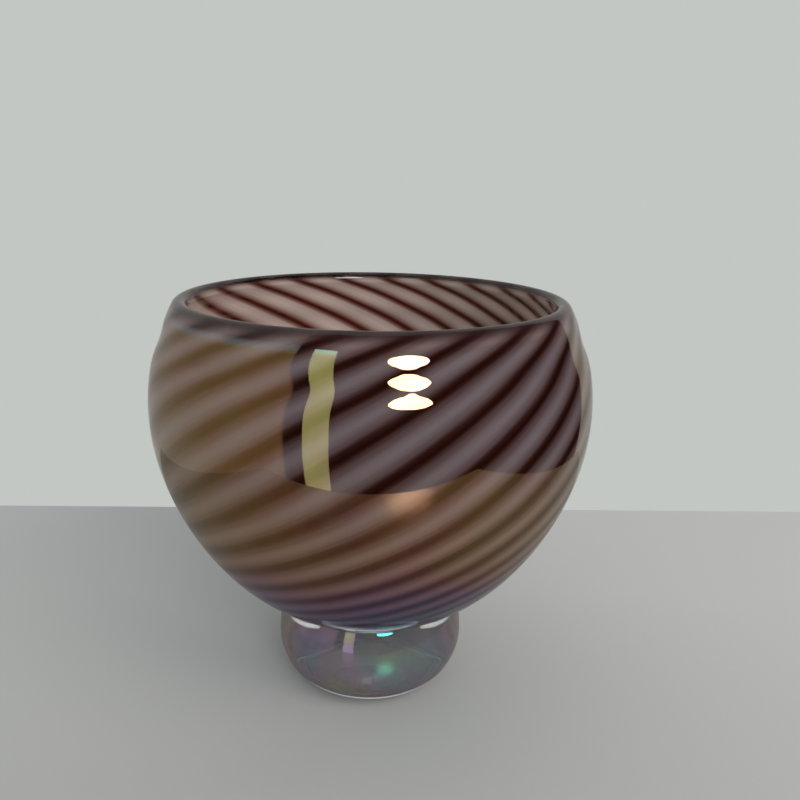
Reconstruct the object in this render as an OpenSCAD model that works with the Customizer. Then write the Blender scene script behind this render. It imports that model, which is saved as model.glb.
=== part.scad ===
// Footed art glass bowl: a blown ball of layered glass, open at the top, on a solid clear bun foot.
// From outside to inside the wall is a clear casing, a colour layer and an opal lining, all fused hot.
// The colour layer is a ring of canes, dark amethyst and pale mauve by turns, twisted as it was blown.

/* [Bowl] */
// Widest diameter of the bowl
bowl_w = 200; // [190:1:210]
// Height from the table to the top of the rim
total_h = 189; // [184:1:194]
// Drop from the rim to the widest place
belly_drop = 48; // [45:1:51]
// Depth of the tool mark that runs round the shoulder
groove_depth = 1; // [0:0.1:1.2]

/* [Wall] */
// Thickness of the wall at its thinnest
wall_t = 6; // [5.6:0.1:6.5]
// Thickness of the rounded rim
lip_t = 7; // [6:0.1:8]
// Thickness of the wall at the very bottom
base_t = 9; // [7:0.5:12]
// Thickness of the clear outer casing
casing_t = 2; // [1.5:0.1:2.4]
// Thickness of the colour layer under the casing
colour_t = 2; // [1.6:0.1:2.2]

/* [Canes] */
// Number of dark canes round the bowl
cane_count = 21; // [16:1:24]
// Part of each turn that the dark cane takes
dark_share = 0.5; // [0.35:0.01:0.6]
// Thickness of a dark cane at its thin edge
thin_edge = 0.4; // [0.3:0.1:0.6]
// Turn of the canes for each degree of latitude at the belly
twist_belly = 1.5; // [1:0.1:2]
// Extra turn toward the rim
twist_rim = 5.5; // [3:0.1:6]
// Extra turn toward the bottom
twist_base = 3.1; // [2:0.1:3.5]

/* [Foot] */
// Widest diameter of the foot
foot_w = 90; // [86:1:94]
// Height of the widest place of the foot
foot_belly_h = 23; // [18:1:26]
// Diameter of the ring that it stands on
foot_ring_w = 50; // [46:1:60]
// Diameter of the ground and polished pontil mark
pontil_w = 34; // [28:1:40]
// Depth of the pontil mark
pontil_depth = 1.6; // [1:0.1:2]

/* [Hidden] */

bowl_r = bowl_w / 2;
belly_h = total_h - belly_drop;
foot_r = foot_w / 2;
ring_r = foot_ring_w / 2;
// The bun would close this far above its widest place, but the bowl cuts it off lower down
bun_reach = foot_w * 0.44;
bun_top = foot_w * 0.3;

// Departures of the blown ball from a true sphere, as parts of its radius: it is drawn in at the
// top, drawn out at the bottom and a little flat between
draw_top = 0.042;
draw_base = 0.076;
flat_base = 0.025;
// Latitude and half width of the shoulder groove
groove_at = 18.6;
groove_span = 4;

// Latitudes are in degrees above the belly. The rim's middle is half a lip below the top.
rim_at = asin((belly_drop - lip_t / 2) / (bowl_r * (1 - draw_top * 0.22) - lip_t / 2));
// The colours run up past it to end under the thin clear cap of the lip
colour_rise = lip_t * 0.4;
colour_end = rim_at + colour_rise / ball_r(rim_at) * 180 / PI;
cap_turn = 180 - asin(colour_rise / (lip_t / 2));
hub_at = -84;
steps_up = 11;
steps_down = 21;
rim_steps = 9;
bun_steps = 14;
// The flat facets of the canes sag by up to this much, so they stay that far above the lining
cane_sag = 0.3;
cane_gap = 0.02;
// Leading edge of the first dark cane at the belly, anticlockwise from the front
first_cane = 11.3;
// The hand-laid canes lag a little on the way round: by twice this at the back
cane_drift = 4;
cane_pitch = 360 / cane_count;

function name(stem, k) = str(stem, k < 10 ? "0" : "", k);

// Radius of the ball from its middle, and the point of the outer surface, at latitude a
function ball_r(a) = a < 0
    ? bowl_r * (1 + draw_base * pow(sin(a), 2) - flat_base * pow(sin(2 * a) * cos(a), 2))
    : bowl_r * (1 - draw_top * pow(sin(a), 2)) - groove_depth * exp(-pow((a - groove_at) / groove_span, 2));
function skin(a) = [ball_r(a) * cos(a), belly_h + ball_r(a) * sin(a)];

// Outward normal of the outer surface, from two points close by
function across(a, d = 0.05) = skin(a + d) - skin(max(a - d, -90));
function normal(a) = a <= -90 ? [0, -1] : [across(a)[1], -across(a)[0]] / norm(across(a));

// A point at some depth in the wall, and the whole thickness of the wall there
function inside(a, depth) = skin(a) - depth * normal(a);
function thick(a) = a < 0
    ? wall_t + (base_t - wall_t) * pow(sin(a), 4)
    : wall_t + (lip_t - wall_t) * pow(a / rim_at, 2);

// How far the canes have turned at latitude a
function turn(a) = a * twist_belly + (a < 0 ? twist_base : twist_rim) * (a / 2 - sin(2 * a) * 45 / PI);

// Latitudes from the bottom up to the rim's middle, and from the ends of the canes to where they stop
hub_rings = [-90, -87];
down_rings = [for (i = [0:steps_down - 1]) hub_at * (1 - i / steps_down)];
function up_rings(last) = [for (i = [0:steps_up]) last * i / steps_up];
cane_rings = concat(down_rings, up_rings(colour_end));
skin_rings = concat(hub_rings, down_rings, up_rings(rim_at));

function line_at(rings, depth) = [for (a = rings) inside(a, depth)];
function inner_line(rings) = [for (a = rings) inside(a, thick(a))];
function reversed(list) = [for (i = [len(list) - 1:-1:0]) list[i]];

// The rounded rim is a half circle from the outer face, at 0, to the inner face, at 180
rim_mid = inside(rim_at, lip_t / 2);
rim_tilt = atan2(normal(rim_at)[1], normal(rim_at)[0]);
function rim_line(from, to) = [for (i = [1:rim_steps])
    let (w = rim_tilt + from + (to - from) * i / rim_steps) rim_mid + lip_t / 2 * [cos(w), sin(w)]];

lining_depth = casing_t + colour_t;

module outer_ball() {
    polygon(concat(line_at(skin_rings, 0), [[0, total_h]]));
}

// Clear outer casing, which also caps the end of the colours at the rim
module casing() {
    color([0.86, 0.86, 0.84, 0.4]) rotate_extrude($fn = 180)
        polygon(concat(
            line_at(skin_rings, 0), rim_line(0, cap_turn), [inside(colour_end, lining_depth)],
            reversed(line_at(concat(hub_rings, cane_rings), casing_t))));
}

// Opal lining, with a small hub at the bottom where the canes were pulled together
module lining() {
    color([0.78, 0.70, 0.70]) rotate_extrude($fn = 180)
        polygon(concat(
            line_at(hub_rings, casing_t), [inside(hub_at, casing_t + cane_gap)],
            line_at(cane_rings, lining_depth), reversed(rim_line(180, cap_turn)),
            reversed(inner_line(skin_rings))));
}

// A cane follows the twist. Its section is a list of [angle, depth] corners, the same at every ring.
function corner(p, a) =
    let (q = inside(a, p[1]), w = p[0] + turn(a) + first_cane, v = w - cane_drift * (1 - cos(w)) - 90)
    [q[0] * cos(v), q[0] * sin(v), q[1]];
// Each side is cut in two from its leading corner below to its trailing corner above, so that
// neighbours share the same facets and the flat facets sag least
function leads(p, q) = p[0] > q[0] || (p[0] == q[0] && p[1] > q[1]);
function side(i, j, n, section) =
    let (k = (j + 1) % n, a = i * n + j, b = i * n + k, c = a + n, d = b + n)
    leads(section[j], section[k]) ? [[a, d, b], [a, c, d]] : [[a, c, b], [b, c, d]];

module cane(section) {
    n = len(section);
    last = len(cane_rings) - 1;
    polyhedron(
        points = [for (a = cane_rings) for (p = section) corner(p, a)],
        faces = concat(
            [[for (j = [0:n - 1]) j]],
            [for (i = [0:last - 1]) for (j = [0:n - 1]) each side(i, j, n, section)],
            [[for (j = [n - 1:-1:0]) last * n + j]]),
        convexity = 6);
}

outer_depth = casing_t + cane_gap;
inner_depth = casing_t + colour_t - cane_sag;
dark_w = cane_pitch * dark_share;

// Dark amethyst cane: a wedge, full depth at its leading edge and thin at its trailing edge
module dark_cane(k) {
    start = (k - 1) * cane_pitch;
    color([0.27, 0.10, 0.13]) cane([
        [start, inner_depth], [start - dark_w, outer_depth + thin_edge],
        [start - dark_w, outer_depth], [start, outer_depth]]);
}

// Pale mauve cane: fills the rest of the turn and the space below the wedge
module pale_cane(k) {
    start = (k - 1) * cane_pitch;
    far = start - cane_pitch;
    color([0.62, 0.52, 0.54]) cane([
        [start, inner_depth], [far, inner_depth], [far, outer_depth],
        [start - dark_w, outer_depth], [start - dark_w, outer_depth + thin_edge]]);
}

// Solid clear foot: a bun gathered on to the bowl, with a polished pontil mark below
module foot() {
    color([0.88, 0.90, 0.90, 0.35]) rotate_extrude($fn = 180) difference() {
        polygon(concat(
            [[0, pontil_depth], [pontil_w / 4, pontil_depth * 0.75], [pontil_w / 2, 0]],
            [for (i = [0:bun_steps]) let (w = 90 * i / bun_steps)
                [ring_r + (foot_r - ring_r) * sin(w), foot_belly_h * (1 - cos(w))]],
            [for (i = [1:bun_steps]) let (h = bun_top * i / bun_steps)
                [foot_r * sqrt(1 - pow(h / bun_reach, 2.2)), foot_belly_h + h]],
            [[0, foot_belly_h + bun_top]]));
        outer_ball();
    }
}

casing();
lining();
foot();
for (k = [1:cane_count]) {
    dark_cane(k);
    pale_cane(k);
}
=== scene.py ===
import math

import bmesh
import bpy
import numpy as np
from mathutils import Matrix, Vector


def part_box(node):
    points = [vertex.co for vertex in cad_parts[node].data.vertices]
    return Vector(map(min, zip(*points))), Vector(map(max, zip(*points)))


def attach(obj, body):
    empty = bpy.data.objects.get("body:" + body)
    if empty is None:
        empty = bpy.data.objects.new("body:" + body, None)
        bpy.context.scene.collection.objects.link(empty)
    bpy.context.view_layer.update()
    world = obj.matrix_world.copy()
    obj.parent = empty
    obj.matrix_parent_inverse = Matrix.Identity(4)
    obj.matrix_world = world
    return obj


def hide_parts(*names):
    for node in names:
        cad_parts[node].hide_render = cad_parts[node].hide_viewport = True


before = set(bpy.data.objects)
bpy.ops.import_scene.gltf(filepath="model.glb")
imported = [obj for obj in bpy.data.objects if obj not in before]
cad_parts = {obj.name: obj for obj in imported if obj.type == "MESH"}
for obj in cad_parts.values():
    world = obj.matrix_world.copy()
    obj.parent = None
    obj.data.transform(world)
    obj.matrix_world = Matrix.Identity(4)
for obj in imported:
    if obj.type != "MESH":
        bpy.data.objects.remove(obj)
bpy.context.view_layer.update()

MM = 0.001

# ---------------------------------------------------------------- sizes, taken from the frame
casing_low, casing_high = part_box("casing")
foot_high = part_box("foot")[1]
BOWL_R = casing_high.x
RIM_TOP = casing_high.z
FOOT_R = foot_high.x
# departures of the ball from a true sphere, as parts of its radius
DRAW_TOP, DRAW_BASE, FLAT_BASE = 0.042, 0.076, 0.025
BELLY_H = casing_low.z + (1 + DRAW_BASE) * BOWL_R
BELLY_DROP = 48 * MM
WALL, LIP, BASE = 6 * MM, 7 * MM, 9 * MM
CASING, COLOUR = 2 * MM, 2 * MM
GROOVE, GROOVE_AT, GROOVE_SPAN = 1.0 * MM, 18.6, 4
# canes: how many, how they share the turn, where the first one starts and how far they lag
CANES = 21
PITCH = 360 / CANES
DARK_SHARE = 0.5
THIN_EDGE = 0.22
FIRST_CANE = 11.3
LAG = 4.0
# turn for each degree of latitude at the belly, and the extra toward the rim and the bottom
TWIST_BELLY, TWIST_RIM, TWIST_BASE = 1.5, 5.5, 3.1
STAND_R, PONTIL_R, PONTIL_DEPTH = 25 * MM, 17 * MM, 1.6 * MM
FOOT_BELLY = 23 * MM
FOOT_REACH = 0.88 * FOOT_R
BASE_RING_H = 6.3 * MM
# the fused layers stand this far apart, so that no two faces share a place
SKIN_GAP = 0.03 * MM


# ---------------------------------------------------------------- the shape of the blown ball
def ball_r(a):
    """Radius of the ball from its middle at latitude a, in degrees above the belly."""
    s = math.sin(math.radians(a))
    if a < 0:
        flat = math.sin(math.radians(2 * a)) * math.cos(math.radians(a))
        return BOWL_R * (1 + DRAW_BASE * s ** 2 - FLAT_BASE * flat ** 2)
    return BOWL_R * (1 - DRAW_TOP * s ** 2) - GROOVE * math.exp(-(((a - GROOVE_AT) / GROOVE_SPAN) ** 2))


def skin(a):
    """Outer surface at latitude a, as (radius, height)."""
    w = math.radians(a)
    return np.array([ball_r(a) * math.cos(w), BELLY_H + ball_r(a) * math.sin(w)])


def normal(a):
    """Outward normal of the outer surface at latitude a."""
    if a <= -90:
        return np.array([0.0, -1.0])
    along = skin(a + 0.05) - skin(max(a - 0.05, -90))
    return np.array([along[1], -along[0]]) / np.linalg.norm(along)


def latitude(r, z):
    return math.degrees(math.atan2(z - BELLY_H, r))


# the rim's middle, where the square of the sine is about 0.22, and how far past it the colours run
# up under the clear cap of the lip
RIM_AT = math.degrees(math.asin((BELLY_DROP - LIP / 2) / (BOWL_R * (1 - DRAW_TOP * 0.22) - LIP / 2)))
COLOUR_RISE = 0.4 * LIP
COLOUR_END = RIM_AT + math.degrees(COLOUR_RISE / ball_r(RIM_AT))
HUB_AT = -84


def thick(a):
    """Whole thickness of the wall at latitude a."""
    s = math.sin(math.radians(a))
    return WALL + ((BASE - WALL) * s ** 4 if a < 0 else (LIP - WALL) * (a / RIM_AT) ** 2)


def inside(a, depth):
    """A point at some depth in the wall."""
    return skin(a) - depth * normal(a)


def turn(a):
    """How far the canes have been twisted at latitude a, in degrees."""
    extra = TWIST_BASE if a < 0 else TWIST_RIM
    return TWIST_BELLY * a + extra * (a / 2 - math.degrees(math.sin(math.radians(2 * a))) / 4)


# ---------------------------------------------------------------- modelling helpers
def deselect():
    if bpy.context.object and bpy.context.object.mode != "OBJECT":
        bpy.ops.object.mode_set(mode="OBJECT")
    bpy.ops.object.select_all(action="DESELECT")


def finish_piece(obj, name, *materials):
    obj.name = obj.data.name = name
    obj.data.materials.clear()
    for m in materials:
        obj.data.materials.append(m)


def set_faces(obj, index, wanted):
    """Gives the faces whose centre is wanted, by radius and height, to one of the piece's materials."""
    for p in obj.data.polygons:
        if wanted(math.hypot(p.center.x, p.center.y), p.center.z):
            p.material_index = index


def turned(outline, steps=192):
    """A piece turned about the bowl's axis: one point is extruded along the outline and spun round."""
    deselect()
    r, z = outline[0]
    bpy.ops.mesh.primitive_plane_add(size=MM, location=(0, 0, 0))
    obj = bpy.context.object
    bpy.ops.object.mode_set(mode="EDIT")
    bpy.ops.mesh.select_all(action="SELECT")
    bpy.ops.mesh.merge(type="CENTER")
    bpy.ops.transform.translate(value=(r, 0, z))
    for q in outline[1:]:
        bpy.ops.mesh.extrude_vertices_move(TRANSFORM_OT_translate={"value": (q[0] - r, 0, q[1] - z)})
        r, z = q
    bpy.ops.mesh.select_all(action="SELECT")
    bpy.ops.mesh.spin(steps=steps, angle=2 * math.pi, center=(0, 0, 0), axis=(0, 0, 1))
    bpy.ops.mesh.select_all(action="SELECT")
    bpy.ops.mesh.remove_doubles(threshold=0.002 * MM)
    bpy.ops.mesh.normals_make_consistent(inside=False)
    bpy.ops.object.mode_set(mode="OBJECT")
    bpy.ops.object.shade_smooth()
    return obj


def latitudes(low, high, step):
    """Latitudes from low to high in equal steps, none longer than the one given."""
    n = max(1, math.ceil((high - low) / step))
    return [low + (high - low) * i / n for i in range(n + 1)]


# ---------------------------------------------------------------- materials
def hex_colour(text):
    """An sRGB hex colour as linear RGBA."""
    parts = [int(text[i:i + 2], 16) / 255 for i in (0, 2, 4)]
    return tuple(c / 12.92 if c <= 0.04045 else ((c + 0.055) / 1.055) ** 2.4 for c in parts) + (1.0,)


def add(nodes, kind, links=(), **settings):
    """Adds a node, sets its properties and inputs, and links sockets into it."""
    node = nodes.nodes.new(kind)
    for key, value in settings.items():
        if key == "inputs":
            for socket, v in value.items():
                node.inputs[socket].default_value = v
        elif key == "ramp":
            ramp = node.color_ramp
            while len(ramp.elements) < len(value):
                ramp.elements.new(0.5)
            for element, (place, colour) in zip(ramp.elements, value):
                element.position = place
            for element, (place, colour) in zip(ramp.elements, value):
                element.color = hex_colour(colour) if isinstance(colour, str) else (colour,) * 3 + (1,)
        else:
            setattr(node, key, value)
    for source, socket in links:
        nodes.links.new(source, node.inputs[socket])
    return node


def new_material(name):
    m = bpy.data.materials.new(name)
    m.use_nodes = True
    nodes = m.node_tree
    for n in list(nodes.nodes):
        nodes.nodes.remove(n)
    return m, nodes


def output(nodes, shader):
    add(nodes, "ShaderNodeOutputMaterial", [(shader, "Surface")])


def clear_casing_glass():
    """Clear soda-lime glass, blown, with a tin-fumed metallic skin: tints that go from gold at the
    shoulder through bronze to purple and blue near the foot. The fire-polished lip is left plain."""
    m, n = new_material("blown clear glass, iridised")
    place = add(n, "ShaderNodeTexCoord")
    height = add(n, "ShaderNodeSeparateXYZ", [(place.outputs["Object"], 0)])
    # the film is 117 nanometres thick above and 180 below, and cloudy over about 60 mm
    cloud = add(n, "ShaderNodeTexNoise", [(place.outputs["Object"], "Vector")],
                inputs={"Scale": 1 / (62.5 * MM), "Detail": 3.0, "Roughness": 0.5})
    film = add(n, "ShaderNodeMapRange", [(height.outputs["Z"], "Value")], interpolation_type="SMOOTHSTEP",
               inputs={"From Min": 50 * MM, "From Max": 110 * MM, "To Min": 180.0, "To Max": 117.0})
    spread = add(n, "ShaderNodeMapRange", [(cloud.outputs["Fac"], "Value")],
                 inputs={"From Min": 0.3, "From Max": 0.7, "To Min": -13.0, "To Max": 13.0})
    fumed = add(n, "ShaderNodeMath", [(film.outputs[0], 0), (spread.outputs[0], 1)], operation="ADD")
    below_lip = add(n, "ShaderNodeMapRange", [(height.outputs["Z"], "Value")],
                    interpolation_type="SMOOTHSTEP",
                    inputs={"From Min": RIM_TOP - 9 * MM, "From Max": RIM_TOP - 3 * MM,
                            "To Min": 1.0, "To Max": 0.0})
    depth = add(n, "ShaderNodeMath", [(fumed.outputs[0], 0), (below_lip.outputs[0], 1)], operation="MULTIPLY")
    ripple = add(n, "ShaderNodeTexNoise", [(place.outputs["Object"], "Vector")],
                 inputs={"Scale": 1 / (45.5 * MM), "Detail": 1.0, "Roughness": 0.4})
    bump = add(n, "ShaderNodeBump", [(ripple.outputs["Fac"], "Height")],
               inputs={"Strength": 0.25, "Distance": 0.5 * MM})
    glass = add(n, "ShaderNodeBsdfPrincipled",
                [(depth.outputs[0], "Thin Film Thickness"), (bump.outputs[0], "Normal")],
                inputs={"Base Color": hex_colour("FBFAF8"), "Roughness": 0.0, "IOR": 1.5,
                        "Transmission Weight": 1.0, "Thin Film IOR": 2.0})
    output(n, glass.outputs[0])
    return m


def fused_join():
    """Where two gathers of glass were fused hot there is no surface left to see."""
    m, n = new_material("fused glass join")
    clear = add(n, "ShaderNodeBsdfTransparent")
    output(n, clear.outputs[0])
    return m


def foot_glass():
    """Clear soda-lime glass, gathered solid, with a thicker pearly fuming of pink, green and blue."""
    m, n = new_material("solid clear glass, pearly fumed")
    place = add(n, "ShaderNodeTexCoord")
    cloud = add(n, "ShaderNodeTexNoise", [(place.outputs["Object"], "Vector")],
                inputs={"Scale": 1 / (35.7 * MM), "Detail": 2.0, "Roughness": 0.5})
    depth = add(n, "ShaderNodeMapRange", [(cloud.outputs["Fac"], "Value")],
                inputs={"From Min": 0.3, "From Max": 0.7, "To Min": 240.0, "To Max": 390.0})
    bump = add(n, "ShaderNodeBump", [(cloud.outputs["Fac"], "Height")],
               inputs={"Strength": 0.35, "Distance": 0.6 * MM})
    glass = add(n, "ShaderNodeBsdfPrincipled",
                [(depth.outputs[0], "Thin Film Thickness"), (bump.outputs[0], "Normal")],
                inputs={"Base Color": hex_colour("F5F8F8"), "Roughness": 0.0, "IOR": 1.5,
                        "Transmission Weight": 0.93, "Thin Film IOR": 1.82})
    output(n, glass.outputs[0])
    return m


def ground_glass():
    """The ground pontil mark and the ring that the foot stands on: a soft satin that scatters light."""
    m, n = new_material("satin ground glass")
    place = add(n, "ShaderNodeTexCoord")
    grain = add(n, "ShaderNodeTexNoise", [(place.outputs["Object"], "Vector")],
                inputs={"Scale": 1 / (1.1 * MM), "Detail": 2.0})
    rough = add(n, "ShaderNodeMapRange", [(grain.outputs["Fac"], "Value")],
                inputs={"From Min": 0.3, "From Max": 0.7, "To Min": 0.12, "To Max": 0.24})
    glass = add(n, "ShaderNodeBsdfPrincipled", [(rough.outputs[0], "Roughness")],
                inputs={"Base Color": hex_colour("F2F4F2"), "IOR": 1.5, "Transmission Weight": 1.0})
    output(n, glass.outputs[0])
    return m


def cane_glass(name, across):
    """Coloured cane glass, fused in: its colour changes softly across the cane, from its leading to
    its trailing edge, with fine drawn-out streaks along it. The fumed film's colours are painted into it
    as an iridescent sheen, purple near the foot and warm above that, and painted shade darkens it to a dark
    line under the lip."""
    m, n = new_material(name)
    strip = add(n, "ShaderNodeUVMap", uv_map="UVMap")
    axes = add(n, "ShaderNodeSeparateXYZ", [(strip.outputs[0], 0)])
    stretch = add(n, "ShaderNodeMapping", [(strip.outputs[0], "Vector")], inputs={"Scale": (6.0, 9.0, 1.0)})
    streak = add(n, "ShaderNodeTexNoise", [(stretch.outputs[0], "Vector")],
                 inputs={"Scale": 1.0, "Detail": 4.0, "Roughness": 0.55})
    shift = add(n, "ShaderNodeMapRange", [(streak.outputs["Fac"], "Value")],
                inputs={"From Min": 0.3, "From Max": 0.7, "To Min": -0.06, "To Max": 0.06})
    where = add(n, "ShaderNodeMath", [(axes.outputs["X"], 0), (shift.outputs[0], 1)], operation="ADD")
    ramp = add(n, "ShaderNodeValToRGB", [(where.outputs[0], "Fac")], ramp=across)
    # painted iridescent sheen: the fumed film's colours, purple near the foot and warm above, multiplied into
    # the cane colour
    painted_film_sheen = add(n, "ShaderNodeValToRGB", [(axes.outputs["Y"], "Fac")],
               ramp=[(0.32, "A478B8"), (0.46, "E8CDC0"), (0.57, "FFF2DA"), (0.76, "FFFFFF")])
    fumed = add(n, "ShaderNodeMix", [(ramp.outputs["Color"], 6), (painted_film_sheen.outputs["Color"], 7)],
                data_type="RGBA", blend_type="MULTIPLY", inputs={"Factor": 1.0})
    # painted shade: the cane colour darkens to a dark line under the lip
    near_lip = add(n, "ShaderNodeMapRange", [(axes.outputs["Y"], "Value")], interpolation_type="SMOOTHSTEP",
                   inputs={"From Min": 0.965, "From Max": 0.995, "To Min": 0.0, "To Max": 0.9})
    lip = add(n, "ShaderNodeMix", [(near_lip.outputs[0], "Factor"), (fumed.outputs[2], 6)],
              data_type="RGBA", inputs={7: hex_colour("33211F")})
    glass = add(n, "ShaderNodeBsdfPrincipled", [(lip.outputs[2], "Base Color")],
                inputs={"Roughness": 0.5, "IOR": 1.5, "Specular IOR Level": 0.0})
    output(n, glass.outputs[0])
    return m


def opal_glass():
    """Pale translucent opal, blown: the dark canes behind it show as thin soft red-brown lines. The shader is
    opaque, so these lines are painted into its colour where the canes lie.
    """
    m, n = new_material("blown opal glass")
    place = add(n, "ShaderNodeTexCoord")
    xyz = add(n, "ShaderNodeSeparateXYZ", [(place.outputs["Object"], 0)])
    # the angle anticlockwise from the front is 180 degrees less this azimuth
    azimuth = add(n, "ShaderNodeMath", [(xyz.outputs["X"], 0), (xyz.outputs["Y"], 1)], operation="ARCTAN2")
    twist = add(n, "ShaderNodeAttribute", attribute_name="cane_turn")
    degrees = add(n, "ShaderNodeMath", [(azimuth.outputs[0], 0)], operation="MULTIPLY_ADD",
                  inputs={1: -180 / math.pi, 2: 180 - FIRST_CANE + 360})
    behind = add(n, "ShaderNodeMath", [(azimuth.outputs[0], 0)], operation="COSINE")
    lag = add(n, "ShaderNodeMath", [(behind.outputs[0], 0)], operation="MULTIPLY_ADD",
              inputs={1: LAG, 2: LAG})
    ahead = add(n, "ShaderNodeMath", [(degrees.outputs[0], 0), (lag.outputs[0], 1)], operation="ADD")
    rest = add(n, "ShaderNodeMath", [(ahead.outputs[0], 0), (twist.outputs["Fac"], 1)], operation="SUBTRACT")
    phase = add(n, "ShaderNodeMath", [(rest.outputs[0], 0)], operation="DIVIDE", inputs={1: PITCH})
    part = add(n, "ShaderNodeMath", [(phase.outputs[0], 0)], operation="FRACT")
    ramp = add(n, "ShaderNodeValToRGB", [(part.outputs[0], "Fac")], ramp=[
        (0.0, "AA968B"), (0.25, "B7A39A"), (0.42, "AA968B"), (0.52, "937A71"), (0.60, "7A5A50"),
        (0.68, "522820"), (0.74, "3B130B"), (0.78, "3E150D"), (0.85, "603A31"), (0.93, "86685F"),
        (1.0, "AA968B")])
    # painted shade: the opal colour darkens to a dark line just under the lip
    near_lip = add(n, "ShaderNodeMapRange", [(xyz.outputs["Z"], "Value")], interpolation_type="SMOOTHSTEP",
                   inputs={"From Min": RIM_TOP - 5 * MM, "From Max": RIM_TOP - 1.5 * MM,
                           "To Min": 0.0, "To Max": 0.95})
    lip = add(n, "ShaderNodeMix", [(near_lip.outputs[0], "Factor"), (ramp.outputs["Color"], 6)],
              data_type="RGBA", inputs={7: hex_colour("33211F")})
    glass = add(n, "ShaderNodeBsdfPrincipled", [(lip.outputs[2], "Base Color")],
                inputs={"Roughness": 0.06, "IOR": 1.5})
    output(n, glass.outputs[0])
    return m


# ---------------------------------------------------------------- the pieces
iridised = clear_casing_glass()
join = fused_join()
foot_clear = foot_glass()
ground = ground_glass()
amethyst = cane_glass("amethyst cane glass", [
    (0.0, "725957"), (0.12, "664C49"), (0.21, "583B3A"), (0.29, "472A27"), (0.37, "3C201B"),
    (0.45, "2E100D"), (0.54, "2B0D0B"), (0.63, "341513"), (0.71, "3C201B"), (0.79, "4D302E"),
    (0.87, "5D413F"), (0.96, "6E5553"), (1.0, "725A58")])
mauve = cane_glass("mauve cane glass", [
    (0.0, "725A58"), (0.12, "7D6766"), (0.21, "887271"), (0.38, "8F7C7C"), (0.5, "917E7E"),
    (0.62, "8F7C7B"), (0.75, "887271"), (0.88, "7C6665"), (1.0, "725957")])
opal = opal_glass()


def pick(wanted):
    """In edit mode, selects the vertices whose place is wanted."""
    shape = bmesh.from_edit_mesh(bpy.context.object.data)
    for v in shape.verts:
        v.select_set(wanted(v.co))
    shape.select_flush_mode()


def one_cane(near, far, section_depth):
    """One cane, wrapped on the ball from a flat strip and then given its depth."""
    across, along, base = 6, 150, 1.5
    deselect()
    # the strip stands on end high above the ball, so that each ring is found by its height
    bpy.ops.mesh.primitive_grid_add(x_subdivisions=across, y_subdivisions=along, size=1,
                                    location=(0, 0, base + 0.5), rotation=(math.pi / 2, 0, 0))
    bpy.ops.object.transform_apply(location=True, rotation=True, scale=True)
    obj = bpy.context.object
    obj.vertex_groups.new(name="depth")
    bpy.ops.object.mode_set(mode="EDIT")
    bpy.ops.mesh.select_mode(type="VERT")
    # bend it across, on a ring of one metre
    for j in range(across + 1):
        u = j / across
        pick(lambda v: abs(v.x - u + 0.5) < 0.01 and abs(v.y) < 0.01)
        bpy.context.scene.tool_settings.vertex_group_weight = section_depth(u)
        bpy.ops.object.vertex_group_assign()
        bpy.ops.transform.translate(value=(0.5 - u, -1, 0))
        bpy.ops.transform.rotate(value=-math.radians(near + (far - near) * u + FIRST_CANE), orient_axis="Z",
                                 center_override=(0, 0, 0))
    # then bring each ring down to its place on the ball, turned as far as the twist has gone
    for i in range(along + 1):
        t = i / along
        a = HUB_AT + (COLOUR_END - HUB_AT) * t
        r, z = inside(a, CASING + SKIN_GAP)
        pick(lambda v: abs(v.z - base - t) < 0.3 / along)
        bpy.ops.transform.resize(value=(r, r, 1), center_override=(0, 0, 0))
        bpy.ops.transform.rotate(value=-math.radians(turn(a)), orient_axis="Z", center_override=(0, 0, 0))
        bpy.ops.transform.translate(value=(0, 0, z - base - t))
    bpy.ops.mesh.select_all(action="SELECT")
    bpy.ops.mesh.flip_normals()
    bpy.ops.object.mode_set(mode="OBJECT")
    solid = obj.modifiers.new("depth", "SOLIDIFY")
    solid.thickness = COLOUR - 0.3 * MM
    solid.offset = -1
    solid.vertex_group = "depth"
    bpy.ops.object.modifier_apply(modifier="depth")
    bpy.ops.object.shade_smooth_by_angle(angle=math.radians(50))
    return obj


def hand_laid():
    """Hand-laid canes are not quite even: each point lags a little round the axis, most at the back."""
    g = bpy.data.node_groups.new("hand-laid lag", "GeometryNodeTree")
    g.interface.new_socket("Geometry", in_out="INPUT", socket_type="NodeSocketGeometry")
    g.interface.new_socket("Geometry", in_out="OUTPUT", socket_type="NodeSocketGeometry")
    source = add(g, "NodeGroupInput")
    where = add(g, "GeometryNodeInputPosition")
    xyz = add(g, "ShaderNodeSeparateXYZ", [(where.outputs[0], 0)])
    flat = add(g, "ShaderNodeCombineXYZ", [(xyz.outputs["X"], 0), (xyz.outputs["Y"], 1)])
    reach = add(g, "ShaderNodeVectorMath", [(flat.outputs[0], 0)], operation="LENGTH")
    behind = add(g, "ShaderNodeMath", [(xyz.outputs["Y"], 0), (reach.outputs["Value"], 1)],
                 operation="DIVIDE")
    lag = add(g, "ShaderNodeMath", [(behind.outputs[0], 0)], operation="MULTIPLY_ADD",
              inputs={1: -math.radians(LAG), 2: -math.radians(LAG)})
    back = add(g, "ShaderNodeVectorRotate", [(where.outputs[0], "Vector"), (lag.outputs[0], "Angle")],
               rotation_type="Z_AXIS")
    put = add(g, "GeometryNodeSetPosition", [(source.outputs[0], "Geometry"), (back.outputs[0], "Position")])
    add(g, "NodeGroupOutput", [(put.outputs[0], 0)])
    return g


lag_nodes = hand_laid()


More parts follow.
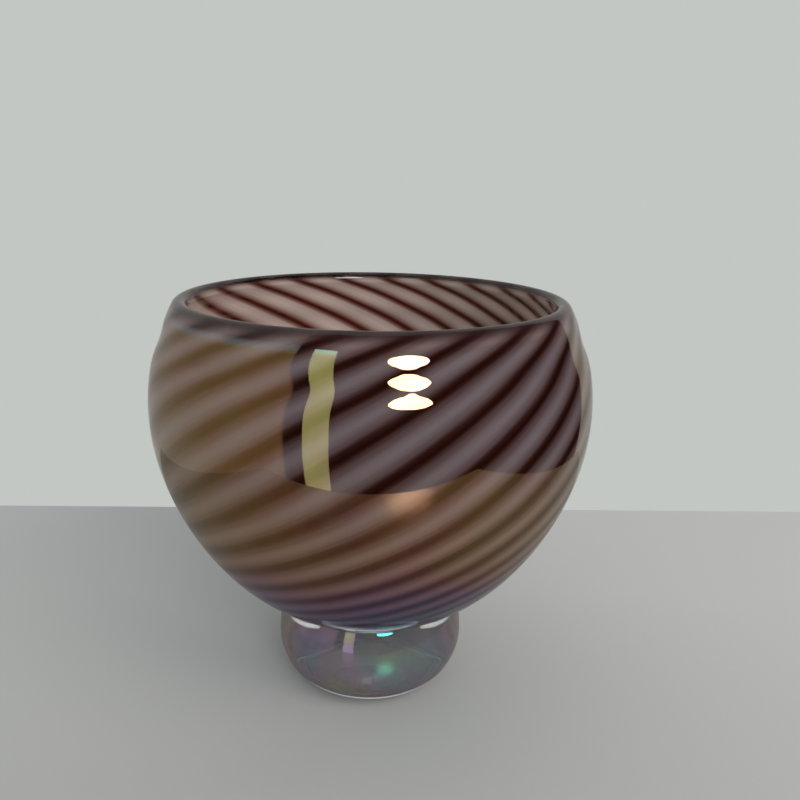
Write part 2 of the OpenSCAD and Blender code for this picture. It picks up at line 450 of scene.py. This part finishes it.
def lay_canes(first, name, material, node):
    """The one cane is copied round the bowl, each copy with its own mesh and its own lag."""
    for k in range(CANES):
        deselect()
        obj = bpy.data.objects.new(name, first.data.copy())
        bpy.context.scene.collection.objects.link(obj)
        obj.select_set(True)
        bpy.context.view_layer.objects.active = obj
        obj.rotation_euler.z = math.radians(k * PITCH)
        bpy.ops.object.transform_apply(location=True, rotation=True, scale=True)
        obj.modifiers.new("lag", "NODES").node_group = lag_nodes
        bpy.ops.object.modifier_apply(modifier="lag")
        finish_piece(obj, f"{name}_{k + 1:02d}", material)
        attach(obj, "root")
        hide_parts(f"{node}_{k + 1:02d}")
    bpy.data.objects.remove(first)


# the dark cane is a wedge, thin at its trailing edge, and the pale one fills the rest of the turn
dark = one_cane(0, -PITCH * DARK_SHARE, lambda u: 1 - (1 - THIN_EDGE) * u)
lay_canes(dark, "amethyst_cane", amethyst, "dark_cane")
pale = one_cane(-PITCH * DARK_SHARE, -PITCH, lambda u: 1.0)
lay_canes(pale, "mauve_cane", mauve, "pale_cane")


def bun_r(z):
    """Radius of the foot at height z, above its widest place."""
    h = max(0.0, z - FOOT_BELLY)
    return FOOT_R * math.sqrt(max(0.0, 1 - (h / FOOT_REACH) ** 2.2))


# latitude at which the foot meets the bowl
MEET = max(a for a in latitudes(-89, -40, 0.05) if bun_r(skin(a)[1]) >= skin(a)[0])

# Clear casing: outer surface, round over the lip, then back down the join with the colours
rim_middle = inside(RIM_AT, LIP / 2)
rim_tilt = math.atan2(normal(RIM_AT)[1], normal(RIM_AT)[0])
WRAP = math.pi - math.asin(COLOUR_RISE / (LIP / 2))


def rim_arc(low, high, steps):
    """Part of the round of the lip, kept a hair inside the frame's own faceted lip."""
    r = LIP / 2 - 0.2 * SKIN_GAP
    return [rim_middle + r * np.array([math.cos(w), math.sin(w)])
            for w in rim_tilt + np.linspace(low, high, steps + 1)]


def fused_in(r, z):
    """Whether a place on the casing is joined to the colours or to the foot, not open to the air."""
    a = latitude(r, z)
    depth = ball_r(a) - math.hypot(r, z - BELLY_H)
    over_lip = a > RIM_AT and math.hypot(r - rim_middle[0], z - rim_middle[1]) > 0.97 * LIP / 2
    return a < MEET or (depth > 0.9 * CASING and not over_lip)


outer = [inside(a, 0) for a in latitudes(-90, RIM_AT, 1.0)]
joined = [inside(a, CASING) for a in reversed(latitudes(-90, COLOUR_END, 2.0))]
casing = turned(outer + rim_arc(0, WRAP, 20)[1:] + joined)
finish_piece(casing, "clear_casing", iridised, join)
set_faces(casing, 1, fused_in)
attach(casing, "root")
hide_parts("casing")

# Opal lining
lining_out = [inside(a, CASING + COLOUR) for a in latitudes(HUB_AT, COLOUR_END, 3.0)]
lining_in = [inside(a, thick(a)) for a in reversed(latitudes(-90, RIM_AT, 1.0))]
hub = [inside(a, CASING + SKIN_GAP) for a in (-90, -87, HUB_AT)]
lining = turned(hub + lining_out + rim_arc(WRAP, math.pi, 8) + lining_in[1:])
finish_piece(lining, "opal_lining", opal)
twist = lining.data.attributes.new("cane_turn", "FLOAT", "POINT")
for v in lining.data.vertices:
    twist.data[v.index].value = turn(latitude(math.hypot(v.co.x, v.co.y), v.co.z))
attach(lining, "root")
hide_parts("lining")

# Solid clear bun foot, closed below by the polished pontil mark and above by the join with the bowl
under = [(0, PONTIL_DEPTH), (PONTIL_R * 0.5, PONTIL_DEPTH * 0.75), (PONTIL_R * 0.8, PONTIL_DEPTH * 0.36),
         (PONTIL_R, 0)]
bulge = [(STAND_R + (FOOT_R - STAND_R) * math.sin(w), FOOT_BELLY * (1 - math.cos(w)))
         for w in np.linspace(0, math.pi / 2, 28)]
side = [(bun_r(z), z) for z in np.linspace(FOOT_BELLY, skin(MEET)[1], 18)[1:-1]]
top = [skin(a) for a in reversed(latitudes(-90, MEET, 2.0))]
foot = turned(under + bulge + side + top, steps=160)
finish_piece(foot, "bun_foot", foot_clear, join, ground)
set_faces(foot, 2, lambda r, z: r < 1.05 * STAND_R and z < BASE_RING_H)
set_faces(foot, 1, lambda r, z: latitude(r, z) < MEET
          and abs(ball_r(latitude(r, z)) - math.hypot(r, z - BELLY_H)) < 0.1 * MM)
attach(foot, "root")
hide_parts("foot")


# ---------------------------------------------------------------- the stage
def mirrored_only(nodes):
    """One for rays that glass mirrors, nought for rays that pass through it or scatter, and the light
    path that this comes from."""
    path = add(nodes, "ShaderNodeLightPath")
    through = add(nodes, "ShaderNodeMath", [(path.outputs["Is Transmission Ray"], 1)], operation="SUBTRACT",
                  inputs={0: 1.0})
    only = add(nodes, "ShaderNodeMath", [(path.outputs["Is Glossy Ray"], 0), (through.outputs[0], 1)],
               operation="MULTIPLY")
    return only.outputs[0], path


def table_top():
    """A plain pale lacquered board, with painted shade that makes it a little darker toward the front. It has
    tones of its own for the light that it throws up, for what the clear foot shows of it and for what the
    glass mirrors; in the first two a painted shadow darkens it round the foot."""
    m, n = new_material("pale lacquered board")
    place = add(n, "ShaderNodeTexCoord")
    cloud = add(n, "ShaderNodeTexNoise", [(place.outputs["Object"], "Vector")],
                inputs={"Scale": 1 / (3.3 * MM), "Detail": 2.0})
    xyz = add(n, "ShaderNodeSeparateXYZ", [(place.outputs["Object"], 0)])
    # painted shade: depth and the grain value below darken the board toward the front, as the camera sees it
    depth = add(n, "ShaderNodeMapRange", [(xyz.outputs["Y"], "Value")],
                inputs={"From Min": -0.3, "From Max": 0.19, "To Min": 0.0, "To Max": 0.96})
    grain = add(n, "ShaderNodeMath", [(cloud.outputs["Fac"], 0), (depth.outputs[0], 2)],
                operation="MULTIPLY_ADD", inputs={1: 0.04})
    ramp = add(n, "ShaderNodeValToRGB", [(grain.outputs[0], "Fac")],
               ramp=[(0.0, "8E8E8B"), (0.45, "9D9D9A"), (0.75, "A7A7A4"), (1.0, "A9A9A7")])
    mirror, path = mirrored_only(n)
    away = add(n, "ShaderNodeVectorMath", [(place.outputs["Object"], 0)], operation="LENGTH")
    # painted shadow: round the foot, the light the board throws up and what the foot shows of it go dark
    painted_foot_shadow = add(n, "ShaderNodeMapRange", [(away.outputs["Value"], "Value")],
                     interpolation_type="SMOOTHSTEP",
                     inputs={"From Min": FOOT_R, "From Max": 2.2 * FOOT_R, "To Min": 0.0, "To Max": 1.0})
    under = add(n, "ShaderNodeMix", [(painted_foot_shadow.outputs[0], "Factor")], data_type="RGBA",
                inputs={6: hex_colour("7C7A76"), 7: hex_colour("EEEBE4")})
    bounce = add(n, "ShaderNodeMix", [(path.outputs["Is Camera Ray"], "Factor"), (under.outputs[2], 6),
                                      (ramp.outputs["Color"], 7)], data_type="RGBA")
    tone = add(n, "ShaderNodeMix", [(mirror, "Factor"), (bounce.outputs[2], 6)], data_type="RGBA",
               inputs={7: hex_colour("84827C")})
    shine = add(n, "ShaderNodeMath", [(mirror, 0)], operation="MULTIPLY_ADD", inputs={1: 0.9, 2: 0.05})
    board = add(n, "ShaderNodeBsdfPrincipled",
                [(tone.outputs[2], "Base Color"), (shine.outputs[0], "Specular IOR Level")],
                inputs={"Roughness": 0.24})
    output(n, board.outputs[0])
    return m


# its edges in metres from the bowl's axis, as the glass mirrors them
TABLE_FRONT, TABLE_BACK, TABLE_LEFT, TABLE_RIGHT, TABLE_THICK = -0.32, 0.194, -0.33, 0.34, 0.02
table_middle = ((TABLE_LEFT + TABLE_RIGHT) / 2, (TABLE_FRONT + TABLE_BACK) / 2, -TABLE_THICK / 2)
deselect()
bpy.ops.mesh.primitive_cube_add(size=1, location=table_middle)
table = bpy.context.object
table.scale = (TABLE_RIGHT - TABLE_LEFT, TABLE_BACK - TABLE_FRONT, TABLE_THICK)
bpy.ops.object.transform_apply(location=True, rotation=True, scale=True)
finish_piece(table, "stage_table", table_top())


def lamp(name, kind, place, power, size, colour, mirrored=True):
    """A soft lamp aimed at the bowl, which the camera does not see."""
    data = bpy.data.lights.new(name, "AREA")
    data.shape = kind
    data.size = size[0]
    data.size_y = size[1]
    data.energy = power
    data.color = hex_colour(colour)[:3]
    obj = bpy.data.objects.new(name, data)
    bpy.context.scene.collection.objects.link(obj)
    obj.location = place
    obj.rotation_euler = (Vector((0, 0, BELLY_H)) - place).to_track_quat("-Z", "Y").to_euler()
    obj.visible_camera = False
    obj.visible_glossy = mirrored


def toward(azimuth, elevation, distance):
    """A place seen from the bowl's belly; azimuth goes from the front toward +X."""
    az, el = math.radians(azimuth), math.radians(elevation)
    way = Vector((math.sin(az) * math.cos(el), -math.cos(az) * math.cos(el), math.sin(el)))
    return way * distance + Vector((0, 0, BELLY_H))


lamp("key", "SQUARE", toward(48, 32, 1.5), 14.0, (0.9, 0.9), "FFFBF5", mirrored=False)
lamp("ceiling_lamp", "ELLIPSE", toward(19, 24.5, 1.6), 10.5, (0.56, 0.34), "F4F6FF")
lamp("window", "RECTANGLE", toward(-25, 3, 1.6), 4.0, (0.34, 1.96), "C8FFF4")


def studio_world():
    """Pale walls behind and to the left and a darker room to the right front, as the glass reflects
    them; everything else is lit by a soft sky that is brighter above."""
    world = bpy.data.worlds.new("studio")
    world.use_nodes = True
    n = world.node_tree
    for node in list(n.nodes):
        n.nodes.remove(node)
    place = add(n, "ShaderNodeTexCoord")
    axes = add(n, "ShaderNodeSeparateXYZ", [(place.outputs["Generated"], 0)])
    flat = add(n, "ShaderNodeCombineXYZ", [(axes.outputs["X"], 0), (axes.outputs["Y"], 1)])
    level = add(n, "ShaderNodeVectorMath", [(flat.outputs[0], 0)], operation="NORMALIZE")
    dark_way = math.radians(43.5)
    facing = add(n, "ShaderNodeVectorMath", [(level.outputs[0], 0)], operation="DOT_PRODUCT",
                 inputs={1: (math.sin(dark_way), -math.cos(dark_way), 0)})
    dark = add(n, "ShaderNodeMapRange", [(facing.outputs["Value"], "Value")], interpolation_type="SMOOTHSTEP",
               inputs={"From Min": 0.065, "From Max": 0.10, "To Min": 0.0, "To Max": 1.0})
    ceiling = add(n, "ShaderNodeMapRange", [(axes.outputs["Z"], "Value")], interpolation_type="SMOOTHSTEP",
                  inputs={"From Min": 0.9, "From Max": 1.0, "To Min": 0.0, "To Max": 1.0})
    walls = add(n, "ShaderNodeMix", [(dark.outputs[0], "Factor")], data_type="RGBA",
                inputs={6: hex_colour("ABABA7"), 7: hex_colour("241E1C")})
    room = add(n, "ShaderNodeMix", [(ceiling.outputs[0], "Factor"), (walls.outputs[2], 6)], data_type="RGBA",
               inputs={7: hex_colour("B8B8B4")})
    mirrored = add(n, "ShaderNodeBackground", [(room.outputs[2], "Color")], inputs={"Strength": 1.0})
    wide = add(n, "ShaderNodeMapRange", [(facing.outputs["Value"], "Value")], interpolation_type="SMOOTHSTEP",
               inputs={"From Min": -0.2, "From Max": 0.4, "To Min": 0.85, "To Max": 0.12})
    off_level = add(n, "ShaderNodeMath", [(axes.outputs["Z"], 0)], operation="ABSOLUTE")
    sky = add(n, "ShaderNodeMapRange", [(off_level.outputs[0], "Value"), (wide.outputs[0], "To Min")],
              inputs={"From Min": 0.05, "From Max": 1.0, "To Max": 0.95})
    soft = add(n, "ShaderNodeBackground", [(sky.outputs[0], "Strength")],
               inputs={"Color": hex_colour("FAFCFF")})
    seen = add(n, "ShaderNodeBackground", inputs={"Color": hex_colour("C3C7C3"), "Strength": 1.0})
    mirror, path = mirrored_only(n)
    light = add(n, "ShaderNodeMixShader", [(mirror, 0), (soft.outputs[0], 1), (mirrored.outputs[0], 2)])
    mix = add(n, "ShaderNodeMixShader",
              [(path.outputs["Is Camera Ray"], 0), (light.outputs[0], 1), (seen.outputs[0], 2)])
    add(n, "ShaderNodeOutputWorld", [(mix.outputs[0], "Surface")])
    bpy.context.scene.world = world


studio_world()

# ---------------------------------------------------------------- camera
PITCH_DOWN, YAW, ROLL = math.radians(15.91), math.radians(-1.58), math.radians(1.10)
EYE = Vector((3.0 * MM, -359.4 * MM, BELLY_H + 101.4 * MM))
camera_data = bpy.data.cameras.new("camera")
camera_data.sensor_width = 36
camera_data.lens = 36
camera_data.clip_start = 0.01
camera = bpy.data.objects.new("camera", camera_data)
bpy.context.scene.collection.objects.link(camera)
tilt = Matrix.Rotation(math.pi / 2 - PITCH_DOWN, 4, "X") @ Matrix.Rotation(ROLL, 4, "Z")
camera.matrix_world = Matrix.Translation(EYE) @ Matrix.Rotation(YAW, 4, "Z") @ tilt
bpy.context.scene.camera = camera
bpy.context.scene.view_settings.view_transform = "Standard"
bpy.context.scene.view_settings.look = "None"
